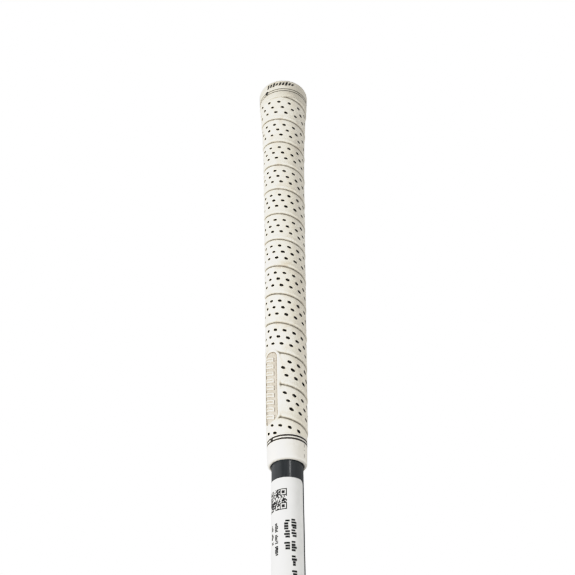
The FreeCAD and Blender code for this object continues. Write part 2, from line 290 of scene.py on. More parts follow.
def place(radius, angle, z):
    """Points round the shaft as an array of (x, y, z)."""
    turn = np.radians(angle)
    return np.stack([radius * np.sin(turn), -radius * np.cos(turn), z + 0 * radius], axis=-1)


# --- mesh helpers ---

def mesh_object(name, points, faces, materials, face_materials=None, sharp=35.0):
    """A mesh object from points in millimetres."""
    mesh = bpy.data.meshes.new(name)
    mesh.from_pydata((np.asarray(points, float) * MM).tolist(), [], faces)
    for material in materials:
        mesh.materials.append(material)
    if face_materials is not None:
        mesh.polygons.foreach_set("material_index", face_materials)
    obj = bpy.data.objects.new(name, mesh)
    bpy.context.scene.collection.objects.link(obj)
    tidy_mesh(obj, sharp)
    return obj


def tidy_mesh(obj, sharp):
    """Outward normals, smooth faces and sharp edges above an angle."""
    work = bmesh.new()
    work.from_mesh(obj.data)
    bmesh.ops.recalc_face_normals(work, faces=work.faces)
    work.to_mesh(obj.data)
    work.free()
    smoothed(obj, sharp)


def smoothed(obj, sharp):
    obj.data.polygons.foreach_set("use_smooth", [True] * len(obj.data.polygons))
    obj.data.set_sharp_from_angle(angle=math.radians(sharp))


def finished(obj, slot_name, *nodes):
    """Hands a piece to the frame."""
    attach(obj, "root")
    if nodes:
        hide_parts(*nodes)


def band(first, second):
    """Faces between two closed rings of point numbers."""
    count = len(first)
    return [(first[i - 1], first[i], second[i], second[i - 1]) for i in range(count)]


def rounded(corners, steps=6):
    """A closed outline of (radius, level, rounding) corners, each rounded by an arc."""
    outline = []
    for number, (r, z, rounding) in enumerate(corners):
        here = Vector((r, z))
        before = Vector(corners[number - 1][:2]) - here
        after = Vector(corners[(number + 1) % len(corners)][:2]) - here
        if rounding == 0:
            outline.append((r, z))
            continue
        half = before.angle(after) / 2
        reach = rounding / math.tan(half)
        start = here + before.normalized() * reach
        end = here + after.normalized() * reach
        middle = here + (before.normalized() + after.normalized()).normalized() * rounding / math.sin(half)
        for step in range(steps + 1):
            blend = start.lerp(end, step / steps) - middle
            outline.append(tuple(middle + blend.normalized() * rounding))
    return outline


def turned(name, outline, material, segments=200):
    """A closed ring-shaped outline swept round the shaft."""
    radii, levels = np.array(outline, float).T
    count = len(outline)
    points = [place(radii, np.full(count, 360 * s / segments), levels) for s in range(segments)]
    rings = [range(s * count, (s + 1) * count) for s in range(segments)]
    faces = []
    for s in range(segments):
        faces += band(rings[s - 1], rings[s])
    return mesh_object(name, np.concatenate(points), faces, [material])


def sheet(name, points, rows, columns, material):
    """A thin closed sheet from two grids of points, the outer one first, joined round the rim."""
    wide = columns + 1
    layer = wide * (rows + 1)
    faces = []
    for i in range(rows):
        for j in range(columns):
            a = i * wide + j
            faces.append((a, a + 1, a + 1 + wide, a + wide))
            faces.append((layer + a, layer + a + wide, layer + a + 1 + wide, layer + a + 1))
    rim = [(0, j) for j in range(columns)] + [(i, columns) for i in range(rows)]
    rim += [(rows, j) for j in range(columns, 0, -1)] + [(i, 0) for i in range(rows, 0, -1)]
    rim = [i * wide + j for i, j in rim]
    faces += band(rim, [layer + number for number in rim])
    return mesh_object(name, np.array(points), faces, [material])


def tile(outline, surface, proud, sunk):
    """Points and faces of a thin closed patch on a round surface.

    The outline is (degrees, level) corners; surface(angle, z) gives the radius."""
    spacing = 0.6
    corners = []
    for (angle, z), (next_angle, next_z) in zip(outline, outline[1:] + outline[:1]):
        arc = math.hypot(math.radians(next_angle - angle) * surface(angle, z), next_z - z)
        steps = max(1, round(arc / spacing))
        for share in np.arange(steps) / steps:
            corners.append((angle + (next_angle - angle) * share, z + (next_z - z) * share))
    angles, levels = np.array(corners).T
    radii = surface(angles, levels)
    centre = (angles.mean(), levels.mean())
    centre_r = surface(*centre)
    points = [place(radii + proud, angles, levels), place(radii - sunk, angles, levels)]
    points.append(np.stack([place(centre_r + proud, *centre), place(centre_r - sunk, *centre)]))
    count = len(corners)
    faces = band(range(count), range(count, 2 * count))
    for i in range(count):
        j = (i + 1) % count
        faces += [(i, j, 2 * count), (count + j, count + i, 2 * count + 1)]
    return np.concatenate(points), faces


def tiles(name, outlines, surface, material, proud, sunk):
    """One object of many separate thin patches."""
    points = []
    faces = []
    offset = 0
    for outline in outlines:
        more_points, more_faces = tile(outline, surface, proud, sunk)
        points.append(more_points)
        faces += [tuple(corner + offset for corner in face) for face in more_faces]
        offset += len(more_points)
    return mesh_object(name, np.concatenate(points), faces, [material], sharp=30.0)


def four_sided(left, right, low, high, lean=0.0):
    """A four-cornered outline whose top leans to the right."""
    return [(left - lean, low), (right - lean, low), (right + lean, high), (left + lean, high)]


# --- materials ---

def wire(tree, node, inputs):
    """Fills in a node's inputs: a socket is linked, anything else is a value."""
    for name, value in inputs.items():
        if isinstance(value, bpy.types.NodeSocket):
            tree.links.new(value, node.inputs[name])
        else:
            node.inputs[name].default_value = value


def add_node(tree, kind, inputs, **settings):
    node = tree.nodes.new(kind)
    for key, value in settings.items():
        setattr(node, key, value)
    wire(tree, node, inputs)
    return node


def ramp(tree, value, low, high, low_out=0.0, high_out=1.0):
    """Maps low..high to low_out..high_out, smoothly and within them."""
    ends = {"Value": value, "From Min": low, "From Max": high, "To Min": low_out, "To Max": high_out}
    return add_node(tree, "ShaderNodeMapRange", ends, interpolation_type="SMOOTHSTEP").outputs["Result"]


def product(tree, first, second):
    return add_node(tree, "ShaderNodeMath", {0: first, 1: second}, operation="MULTIPLY").outputs[0]


class Surface:
    """A node material that grows by small steps."""

    def __init__(self, name, specular, sheen=0.0):
        self.material = bpy.data.materials.new(name)
        self.material.use_nodes = True
        self.tree = self.material.node_tree
        self.shader = self.tree.nodes["Principled BSDF"]
        self.set({"Specular IOR Level": specular, "Sheen Weight": sheen})
        self.place = self.node("ShaderNodeTexCoord", {}).outputs["Object"]

    def set(self, inputs):
        """Fills in the shader's own inputs."""
        wire(self.tree, self.shader, inputs)

    def node(self, kind, inputs, **settings):
        return add_node(self.tree, kind, inputs, **settings)

    def stretched(self, scale):
        """Coordinates stretched by a scale along each axis."""
        return self.node("ShaderNodeMapping", {"Vector": self.place, "Scale": scale}).outputs["Vector"]

    def noise(self, size_mm, detail=4.0, roughness=0.55, stretch=None, distortion=0.0):
        """Noise with features of a size in millimetres."""
        return self.node("ShaderNodeTexNoise", {
            "Vector": self.stretched(stretch) if stretch else self.place,
            "Scale": 1 / (size_mm * MM),
            "Detail": detail,
            "Roughness": roughness,
            "Distortion": distortion,
        }).outputs["Fac"]

    def cells(self, size_mm):
        inputs = {"Vector": self.place, "Scale": 1 / (size_mm * MM)}
        return self.node("ShaderNodeTexVoronoi", inputs, feature="F1").outputs["Distance"]

    def between(self, value, *ends):
        return ramp(self.tree, value, *ends)

    def times(self, first, second):
        return product(self.tree, first, second)

    def level(self):
        """Height along the shaft, in metres."""
        return self.node("ShaderNodeSeparateXYZ", {"Vector": self.place}).outputs["Z"]

    def from_axis(self):
        """Distance from the shaft's axis, in metres."""
        flat = self.stretched((1, 1, 0))
        return self.node("ShaderNodeVectorMath", {0: flat}, operation="LENGTH").outputs["Value"]

    def attribute(self, name):
        return self.node("ShaderNodeAttribute", {}, attribute_name=name).outputs["Fac"]

    def mixed(self, first, second, factor):
        """Two colours, each a tuple or a socket, mixed by a factor socket."""
        ends = [(*end, 1.0) if isinstance(end, tuple) else end for end in (first, second)]
        inputs = {"Factor": factor, 6: ends[0], 7: ends[1]}
        return self.node("ShaderNodeMix", inputs, data_type="RGBA").outputs[2]

    def colour(self, output):
        self.set({"Base Color": output})

    def roughness(self, value, low, high):
        """Roughness between low and high, driven by a 0..1 socket."""
        self.set({"Roughness": self.between(value, 0.25, 0.75, low, high)})

    def bump(self, height, depth_mm, strength=1.0):
        """Adds a bump on top of any earlier one."""
        inputs = {"Height": height, "Strength": strength, "Distance": depth_mm * MM}
        earlier = self.shader.inputs["Normal"].links
        if earlier:
            inputs["Normal"] = earlier[0].from_socket
        self.set({"Normal": self.node("ShaderNodeBump", inputs).outputs["Normal"]})


def skin_material():
    """Cream polyurethane with a fine leathery grain, handled, a little stained, and darkened in the seams
    by dirt and painted shade.
    """
    s = Surface("wrap_polyurethane", specular=0.25, sheen=0.05)
    broad = s.noise(26, detail=3)
    grain = s.noise(0.75, detail=4, roughness=0.6)
    clean = s.mixed((0.815, 0.77, 0.655), (0.875, 0.84, 0.74), s.between(broad, 0.35, 0.65))
    grained = s.mixed(clean, (0.745, 0.69, 0.57), s.between(grain, 0.42, 0.68, 0.0, 0.5))
    mottle = s.between(s.noise(3.2, detail=5, roughness=0.62), 0.45, 0.75, 0.0, 0.5)
    worn = s.mixed(grained, (0.71, 0.635, 0.515), mottle)
    stain = s.between(s.noise(7.5, detail=4, roughness=0.6, distortion=0.4), 0.5, 0.74, 0.0, 0.7)
    stained = s.mixed(worn, (0.62, 0.52, 0.40), s.times(stain, s.attribute("soil")))
    lined = s.between(s.noise(1.3, detail=3), 0.3, 0.6, 0.72, 1.0)
    # Seams, forks and the cap's join are darkened: partly dirt, partly painted shade.
    seam_dirt_and_shade = s.mixed(stained, (0.115, 0.095, 0.062), s.times(lined, s.attribute("seam")))
    s.colour(seam_dirt_and_shade)
    s.roughness(broad, 0.52, 0.68)
    s.bump(s.cells(0.42), 0.02, 0.35)
    s.bump(grain, 0.06, 0.4)
    return s.material


def one_noise(name, dark, light, specular, rough, bump, sheen=0.0, **grain):
    """A material whose colour, roughness and surface all follow one noise."""
    s = Surface(name, specular, sheen)
    value = s.noise(**grain)
    s.colour(s.mixed(dark, light, value))
    s.roughness(value, *rough)
    s.bump(value, *bump)
    return s.material


def rubber(name, light, dark, soil, grain_mm=0.5, marks_mm=2.4, marks=(0.48, 0.74, 0.6), over=None):
    """Smooth moulded rubber with faint clouding and dirty handling marks, and an optional painted shade
    over them.
    """
    s = Surface(name, specular=0.3)
    broad = s.noise(14, detail=3)
    base = s.mixed(dark, light, s.between(broad, 0.35, 0.65))
    low, high, most = marks
    marked = s.noise(marks_mm, detail=6, roughness=0.65)
    handled = s.mixed(base, soil, s.between(marked, low, high, 0.0, most))
    s.colour(over(s, handled) if over else handled)
    s.roughness(broad, 0.48, 0.62)
    s.bump(s.noise(grain_mm, detail=4), 0.025, 0.3)
    return s.material


def painted_cap_edge_shade(s, handled):
    """Painted shade: darker, in patches, on the cap's rounded edge, where it turns away from the light."""
    near_edge = s.between(s.level(), EDGE_PAINTED_SHADE[0] * MM, EDGE_PAINTED_SHADE[1] * MM)
    outside = s.between(s.from_axis(), (CAP_R - 3.6) * MM, (CAP_R - 2.0) * MM)
    patchy = s.between(s.noise(5, detail=4), 0.3, 0.6, 0.5, 0.9)
    # the colour of the painted shade on the cap's edge
    return s.mixed(handled, (0.13, 0.11, 0.085), s.times(s.times(near_edge, outside), patchy))


def painted_lip_shade(s, handled):
    """Painted shade: darker where the collar's lip meets the shaft."""
    near_lip = s.between(s.level(), LIP_PAINTED_SHADE[0] * MM, LIP_PAINTED_SHADE[1] * MM, 0.45, 0.0)
    # the colour of the painted shade on the lip
    return s.mixed(handled, (0.33, 0.31, 0.28), near_lip)


def paint(name, light, dark):
    """Paint rubbed into a moulded line, worn thin here and there."""
    s = Surface(name, specular=0.3)
    wear = s.noise(1.6, detail=5, roughness=0.6)
    s.colour(s.mixed(dark, light, s.between(wear, 0.42, 0.75)))
    s.roughness(wear, 0.45, 0.65)
    s.bump(s.noise(0.35, detail=3), 0.02, 0.4)
    return s.material


def shaft_material():
    """Dark slate coating with a faint lengthwise brushing under a clear coat."""
    s = Surface("shaft_slate", specular=0.15)
    s.set({"Coat Weight": 0.55, "Coat Roughness": 0.2})
    brushing = s.noise(0.35, detail=3, stretch=(1, 1, 0.02))
    broad = s.noise(9, detail=3, stretch=(1, 1, 0.15))
    base = s.mixed((0.017, 0.020, 0.0225), (0.026, 0.030, 0.034), s.between(broad, 0.35, 0.65))
    s.colour(s.mixed(base, (0.06, 0.066, 0.07), s.between(brushing, 0.55, 0.8, 0.0, 0.4)))
    s.roughness(brushing, 0.42, 0.52)
    s.bump(brushing, 0.004, 0.25)
    return s.material


def paper_material():
    """Matt label paper with a faint fibre and a few scuffs."""
    s = Surface("label_paper", specular=0.25)
    fibre = s.noise(0.5, detail=5, stretch=(1, 1, 0.3))
    cloud = s.noise(11, detail=2)
    base = s.mixed((0.76, 0.757, 0.733), (0.81, 0.804, 0.778), s.between(cloud, 0.35, 0.65))
    s.colour(s.mixed(base, (0.67, 0.67, 0.665), s.between(fibre, 0.6, 0.85, 0.0, 0.5)))
    s.roughness(fibre, 0.48, 0.6)
    s.bump(fibre, 0.008, 0.35)
    return s.material


def ink_material():
    """Black print, a little faded in spots."""
    s = Surface("label_ink", specular=0.25)
    fade = s.noise(0.7, detail=4)
    s.colour(s.mixed((0.006, 0.006, 0.007), (0.03, 0.03, 0.032), s.between(fade, 0.5, 0.8)))
    s.roughness(fade, 0.5, 0.7)
    s.bump(fade, 0.004, 0.3)
    return s.material


SKIN_MATERIAL = skin_material()
PIT_MATERIAL = one_noise(
    "perforation_black", (0.006, 0.006, 0.005), (0.018, 0.016, 0.014),
    specular=0.15, rough=(0.75, 0.95), bump=(0.02, 0.5), size_mm=0.4)
# The cap's rubber, with painted shade on its rounded edge.
CAP_RUBBER = rubber(
    "cap_rubber", (0.74, 0.70, 0.605), (0.665, 0.62, 0.52), (0.52, 0.45, 0.34),
    marks=(0.52, 0.78, 0.5), over=painted_cap_edge_shade)
# The collar's rubber, with painted shade on its lip.
COLLAR_RUBBER = rubber(
    "collar_rubber", (0.87, 0.84, 0.765), (0.83, 0.795, 0.715), (0.72, 0.67, 0.58),
    marks=(0.52, 0.78, 0.6), over=painted_lip_shade)
FLASH_RUBBER = rubber(
    "soiled_flash_rubber", (0.36, 0.33, 0.28), (0.26, 0.235, 0.2), (0.14, 0.12, 0.1))
CORE_RUBBER = rubber(
    "underlisting_rubber", (0.78, 0.74, 0.66), (0.70, 0.66, 0.58), (0.5, 0.45, 0.38))
BADGE_FLOOR = rubber(
    "badge_floor", (0.61, 0.555, 0.475), (0.52, 0.47, 0.395), (0.28, 0.24, 0.19),
    grain_mm=0.4, marks_mm=0.8)
BADGE_RAISED = rubber(
    "badge_raised", (0.84, 0.80, 0.70), (0.78, 0.73, 0.63), (0.56, 0.50, 0.41),
    grain_mm=0.4, marks_mm=0.9)
BADGE_LINE = paint("badge_line_paint", (0.38, 0.325, 0.26), (0.22, 0.185, 0.145))
CAP_LINE = paint("cap_line_paint", (0.10, 0.09, 0.062), (0.04, 0.036, 0.024))
COLLAR_LINE = paint("collar_line_paint", (0.03, 0.022, 0.015), (0.009, 0.007, 0.005))
MARK_PAINT = paint("mark_paint", (0.02, 0.017, 0.013), (0.006, 0.005, 0.004))
SHAFT_COAT = shaft_material()
LABEL_PAPER = paper_material()
LABEL_INK = ink_material()
FELT = one_noise(
    "backing_felt", (0.60, 0.56, 0.48), (0.78, 0.74, 0.66), specular=0.1, rough=(0.85, 0.98),
    bump=(0.08, 0.6), sheen=0.3, size_mm=0.5, detail=8, roughness=0.7, stretch=(1, 1, 0.5))
TAPE = one_noise(
    "grip_tape_crepe", (0.60, 0.52, 0.38), (0.76, 0.69, 0.55), specular=0.2, rough=(0.6, 0.8),
    bump=(0.05, 0.5), size_mm=0.8, stretch=(1, 1, 3))


# --- the skin ---

def strip_rows():
    """Distances below a seam of the mesh rows across the strip, and each hole row's place in them."""
    rows = [0, 0.12, 0.28, 0.5, 0.8, 1.2, 1.8, 2.6]
    centres = []
    for number, share in enumerate(HOLE_ROWS):
        middle = share * PITCH
        if number:
            rows.append((rows[-1] + middle - 2 * HOLE_CELL) / 2)
        rows += [middle + HOLE_CELL * step for step in (-2, -1, 0, 1, 2)]
        centres.append(len(rows) - 3)
    rows += [PITCH - above for above in (3.9, 3.1, 2.3, 1.6, 1.05, 0.65, 0.35, 0.15)]
    return np.array(rows), centres


def hole_places():
    """(angle along the strip, row) of every hole on the wrap, clear of its ends and the badge."""
    turns = (WRAP_TOP - WRAP_LOW) / PITCH
    found = []
    for number in range(-round(2 * 360 / HOLE_STEP), round((turns + 1) * 360 / HOLE_STEP)):
        for row, share in enumerate(HOLE_ROWS):
            angle = 360 + HOLE_PHASE + (number + row / 3) * HOLE_STEP
            z = WRAP_TOP - PITCH * (angle / 360 + share)
            gap = BADGE_SIDE_GAP if BADGE_LOW < z < BADGE_TOP else BADGE_END_GAP
            inside = WRAP_LOW + HOLE_EDGE_GAP < z < WRAP_TOP - HOLE_EDGE_GAP
            if inside and badge_distance(angle, z) >= gap:
                found.append((angle, row))
    return found


def hole_shape(chance):
    """Half length, half width, tilt and (share of the size, depth) rings of one hole."""
    long = HOLE_SIZE[0] * chance.uniform(0.93, 1.08)
    wide = HOLE_SIZE[1] * chance.uniform(0.9, 1.1)
    tilt = math.radians(chance.uniform(-7, 7))
    depth = HOLE_DEPTH * chance.uniform(0.92, 1.08)
    return long, wide, tilt, [(1.12, 0.0), (1.0, HOLE_EDGE), (0.92, depth)]


class SkinSheet:
    """The wound skin as a grid of points with the holes let in, longer than the wrap both ways."""

    def __init__(self):
        self.rows, self.centres = strip_rows()
        self.step = 360 / COLUMNS
        self.first = -COLUMNS - SPARE_COLUMNS
        self.last = round(COLUMNS * (WRAP_TOP - WRAP_LOW + SPARE_LENGTH) / PITCH)
        self.points = []
        self.total = 0
        self.faces = []
        self.kinds = []
        self.taken = set()
        columns = np.arange(self.first, self.last + 1)
        self.add(np.repeat(columns * self.step, len(self.rows)), np.tile(self.rows, len(columns)))
        chance = random.Random(7)
        for angle, row in hole_places():
            self.hole(angle, row, chance)
        self.fill()

    def add(self, angles, below, depth=0.0):
        """Adds points at a distance below their seam and returns their numbers."""
        levels = WRAP_TOP - PITCH * angles / 360 - below
        self.points.append(place(skin_radius(angles, levels) - depth, angles, levels))
        start = self.total
        self.total += len(angles)
        return range(start, self.total)

    def corner(self, column, row):
        """Number of a grid point; the row past the last is the next turn's first."""
        if row == len(self.rows):
            column += COLUMNS
            row = 0
        return (column - self.first) * len(self.rows) + row

    def face(self, corners, black=False):
        self.faces.append(tuple(corners))
        self.kinds.append(int(black))

    def block(self, angle, row):
        """Takes a block of grid cells round a hole's centre and returns its border."""
        wide, tall = HOLE_BLOCK
        column = round(angle / self.step)
        left, right = column - wide, column + wide
        top, bottom = self.centres[row] - tall, self.centres[row] + tall
        self.taken.update((c, r) for c in range(left, right) for r in range(top, bottom))
        border = [(c, top) for c in range(left, right)]
        border += [(right, r) for r in range(top, bottom)]
        border += [(c, bottom) for c in range(right, left, -1)]
        border += [(left, r) for r in range(bottom, top, -1)]
        return border

    def hole(self, angle, row, chance):
        """Lets a hole into the grid: rings of faces from a block's border down to a black floor."""
        border = self.block(angle, row)
        long, wide, tilt, rings = hole_shape(chance)
        below = HOLE_ROWS[row] * PITCH
        scale = math.radians(1) * float(wrap_radius(WRAP_TOP - PITCH * angle / 360 - below))
        half_block = (HOLE_BLOCK[0] * self.step / 2, HOLE_BLOCK[1])
        around = np.array([
            math.atan2((self.rows[r] - below) / half_block[1], (c * self.step - angle) / half_block[0])
            for c, r in border
        ])
        outer = [self.corner(c, r) for c, r in border]
        for size, depth in rings:
            flat_along = size * long * np.cos(around)
            flat_across = size * wide * np.sin(around)
            along = flat_along * math.cos(tilt) - flat_across * math.sin(tilt)
            across = flat_along * math.sin(tilt) + flat_across * math.cos(tilt)
            inner = self.add(angle + along / scale, below + across, depth)
            for corners in band(outer, inner):
                self.face(corners, depth > HOLE_EDGE)
            outer = inner
        hub = self.add(np.array([angle]), np.array([below]), rings[-1][1])[0]
        for i in range(len(border)):
            self.face((outer[i - 1], outer[i], hub), True)

    def fill(self):
        """Fills in every grid cell that no hole takes."""
        final_row = len(self.rows) - 1
        for column in range(self.first, self.last):
            for row in range(len(self.rows)):
                past_end = row == final_row and column + 1 + COLUMNS > self.last
                if (column, row) in self.taken or past_end:
                    continue
                cell = ((0, 0), (1, 0), (1, 1), (0, 1))
                self.face(self.corner(column + right, row + down) for right, down in cell)


def close_ends(obj):
    """Closes both ends of the skin's sheet with a fan, well beyond the part that is kept."""
    work = bmesh.new()
    work.from_mesh(obj.data)
    bmesh.ops.delete(work, geom=[v for v in work.verts if not v.link_faces], context="VERTS")
    middle = (WRAP_LOW + WRAP_TOP) / 2 * MM
    for side in (-1, 1):
        edges = [e for e in work.edges if e.is_boundary and (e.verts[0].co.z - middle) * side > 0]
        hub = work.verts.new((0, 0, middle + side * (WRAP_TOP - WRAP_LOW) * MM))
        for edge in edges:
            work.faces.new((edge.verts[0], edge.verts[1], hub))
    bmesh.ops.recalc_face_normals(work, faces=work.faces)
    work.to_mesh(obj.data)
    work.free()


def cut(obj, tool, operation):
    """Applies a boolean with a tool object and removes the tool."""
    modifier = obj.modifiers.new("cut", "BOOLEAN")
    modifier.operation = operation
    modifier.solver = "MANIFOLD"
    modifier.object = tool
    graph = bpy.context.evaluated_depsgraph_get()
    result = bpy.data.meshes.new_from_object(obj.evaluated_get(graph))
    obj.modifiers.remove(modifier)
    used = (obj.data, tool.data)
    obj.data = result
    bpy.data.objects.remove(tool)
    for mesh in used:
        bpy.data.meshes.remove(mesh)


def wrap_jacket():
    """A tube from the skin's inner face out past everything, as long as the wrap."""
    far = 30.0
    levels = np.linspace(WRAP_LOW, WRAP_TOP, 40)
    outline = [(float(wrap_radius(z)) - SKIN, float(z)) for z in levels]
    outline += [(far, WRAP_TOP), (far, WRAP_LOW)]
    return turned("wrap_jacket", outline, SKIN_MATERIAL, segments=160)


def badge_sides(grow, steps):
    """Places across the badge from one side to the other, closer together near its corners."""
    return [-(BADGE_HALF + grow) * math.cos(math.pi * i / steps) for i in range(steps + 1)]


def badge_outline(grow, steps=24):
    """The badge's outline seen square on, as (across, level), anticlockwise."""
    sides = badge_sides(grow, steps)
    low = [(side, BADGE_MIDDLE - badge_reach(side, grow)) for side in sides]
    high = [(side, BADGE_MIDDLE + badge_reach(side, grow)) for side in reversed(sides)]
    return low + high


def on_wrap(side, z, depth):
    """A point at a depth below the wrap's outline, so far to the side of the badge's middle."""
    angle = BADGE_DEG + np.degrees(np.arcsin(side / wrap_radius(z)))
    return place(float(wrap_radius(z)) - depth, float(angle), z)


def badge_cutter():
    """The recess as a block, square to the badge's middle."""
    outline = badge_outline(0.0)
    turn = math.radians(BADGE_DEG)
    out = Vector((math.sin(turn), -math.cos(turn), 0))
    side = Vector((math.cos(turn), math.sin(turn), 0))
    far, near = 30.0, 2.0
    points = []
    for reach in (near, far):
        points += [side * x + out * reach + Vector((0, 0, z)) for x, z in outline]
    count = len(outline)
    faces = [tuple(range(count - 1, -1, -1)), tuple(range(count, 2 * count))]
    faces += band(range(count), range(count, 2 * count))
    return mesh_object("badge_cutter", [tuple(p) for p in points], faces, [SKIN_MATERIAL])


def add_dirt_shade_and_stain_masks(obj):
    """Stores two masks on the skin's points: 'seam', dirt and painted shade in the seams, at the panel's
    forks and along the cap's join, darkest at a groove's bottom; and 'soil', stains in a band about the
    seams and round the panel.
    """
    count = len(obj.data.vertices)
    where = np.zeros(count * 3)
    obj.data.vertices.foreach_get("co", where)
    x, y, z = (where.reshape(-1, 3) / MM).T
    angle = np.degrees(np.arctan2(x, -y))
    offset = seam_offset(angle, z)
    away = badge_distance(angle, z)
    clear = smooth_step((away - BADGE_BORDER + 0.4) / BADGE_FADE)
    depth = np.clip((wrap_radius(z) - np.hypot(x, y)) / SEAM_DEPTH, 0, 1)
    # Partly painted shade: the deeper a point lies in a groove, the darker it is.
    near_seam = bell(offset, SEAM_DIRT_AND_SHADE_WIDTH) * clear * (0.45 + 0.55 * depth)
    near_fork = bell(offset, FORK_LENGTH) * bell(away - FORK_PLACE, FORK_DIRT_AND_SHADE_WIDTH)
    near_cap = bell(WRAP_TOP - z, CAP_JOIN_DIRT_AND_SHADE_WIDTH)
    seam = np.clip(near_seam + 0.7 * near_fork + 0.4 * near_cap, 0, 1)
    past_panel = away - PANEL_SOIL_FROM
    near_panel = bell(np.maximum(past_panel, 0), PANEL_SOIL_WIDTH) * (past_panel > 0)
    soil = np.maximum(0.25 + 0.75 * bell(offset, SEAM_SOIL_WIDTH), 0.85 * near_panel)
    for name, values in (("seam", seam), ("soil", soil)):
        layer = obj.data.attributes.new(name, "FLOAT", "POINT")
        layer.data.foreach_set("value", values.astype(np.float32))


def wrap_skin():
    grid = SkinSheet()
    materials = [SKIN_MATERIAL, PIT_MATERIAL]
    skin = mesh_object("wrap_skin", np.concatenate(grid.points), grid.faces, materials, grid.kinds)
    close_ends(skin)
    cut(skin, wrap_jacket(), "INTERSECT")
    cut(skin, badge_cutter(), "DIFFERENCE")
    smoothed(skin, 50)
    add_dirt_shade_and_stain_masks(skin)
    return skin


# --- badge ---

def badge_panel():
    """The recess's thin floor, which follows the wrap."""
    rows, columns, thickness = 60, 20, 0.3
    points = []
    for depth in (BADGE_FLOOR_DEPTH, BADGE_FLOOR_DEPTH + thickness):
        for i in range(rows + 1):
            for side in badge_sides(0.0, columns):
                z = BADGE_MIDDLE + badge_reach(side) * (2 * i / rows - 1)
                points.append(on_wrap(side, z, depth))
    return sheet("badge_floor_panel", points, rows, columns, BADGE_FLOOR)


def badge_line():
    """Thin painted line that runs round the foot of the recess."""
    outer = badge_outline(-0.02, 20)
    inner = badge_outline(-0.02 - BADGE_LINE_WIDTH, 20)
    top, low = BADGE_FLOOR_DEPTH - 0.06, BADGE_FLOOR_DEPTH + 0.1
    loops = [(outer, top), (inner, top), (inner, low), (outer, low)]
    points = [on_wrap(side, z, depth) for outline, depth in loops for side, z in outline]
    rings = [range(k * len(outer), (k + 1) * len(outer)) for k in range(len(loops))]
    faces = []
    for k in range(len(rings)):
        faces += band(rings[k - 1], rings[k])
    return mesh_object("badge_line", np.array(points), faces, [BADGE_LINE])


def motif_block(middle, margin):
    """Corners of one slanted block, moved in by a margin, as (across, level), anticlockwise."""
    half = MOTIF_SIZE[0] / 2 - margin
    tall = MOTIF_SIZE[1] / 2 - margin
    rise = MOTIF_SLANT * half / (MOTIF_SIZE[0] / 2)
    return [
        (-half, middle - tall - rise),
        (half, middle - tall + rise),
        (half, middle + tall + rise),
        (-half, middle + tall - rise),
    ]


def badge_motif():
    """Raised slanted blocks with bevelled edges and a sunk middle: a plain pattern, no lettering."""
    step = (BADGE_TOP - BADGE_LOW - 2 * BADGE_BOW) / MOTIF_COUNT
    side_parts = 6
    materials = [BADGE_RAISED, BADGE_LINE, BADGE_FLOOR]
    band_kinds = (1, 0, 0, 2)
    points = []
    faces = []
    kinds = []
    for number in range(MOTIF_COUNT):
        middle = BADGE_MIDDLE + (number - (MOTIF_COUNT - 1) / 2) * step
        rings = []
        for margin, depth in MOTIF_PROFILE:
            loop = motif_block(middle, margin)
            start = len(points)
            for i, (x0, z0) in enumerate(loop):
                x1, z1 = loop[(i + 1) % 4]
                for share in np.arange(side_parts) / side_parts:
                    points.append(on_wrap(x0 + (x1 - x0) * share, z0 + (z1 - z0) * share, depth))
            rings.append(range(start, len(points)))
        for kind, lower, upper in zip(band_kinds, rings, rings[1:]):
            faces += band(lower, upper)
            kinds += [kind] * len(lower)
        faces += [tuple(reversed(rings[0])), tuple(rings[-1])]
        kinds += [2, 2]
    return mesh_object("badge_motif_blocks", np.array(points), faces, materials, kinds, 25.0)


# --- cap ---

def cap_side(angle, z):
    """Outside radius of the cap's skirt, the same all round."""
    edge = CAP_TOP - CAP_EDGE
    foot = float(wrap_radius(WRAP_TOP))
    return foot + (z - WRAP_TOP) / (edge - WRAP_TOP) * (CAP_R - foot)


def line_grooves(levels, surface, width):
    """Corners of the moulded lines in a turned outline, the lowest line first."""
    corners = []
    for level in reversed(levels):
        low, high = level - width / 2, level + width / 2
        corners += [
            (surface(0, low), low, 0.08),
            (surface(0, low) - LINE_GROOVE, low + 0.1, 0.05),
            (surface(0, high) - LINE_GROOVE, high - 0.1, 0.05),
            (surface(0, high), high, 0.08),
        ]
    return corners


def line_paint(name, level, surface, half, material):
    """Paint lying in one of the moulded lines."""
    low, high = level - half, level + half
    inner, outer = -LINE_GROOVE - 0.1, -LINE_GROOVE + 0.09
    outline = [
        (surface(0, low) + inner, low, 0),
        (surface(0, high) + inner, high, 0),
        (surface(0, high) + outer, high, 0.06),
        (surface(0, low) + outer, low, 0.06),
    ]
    return turned(name, rounded(outline, 3), material)


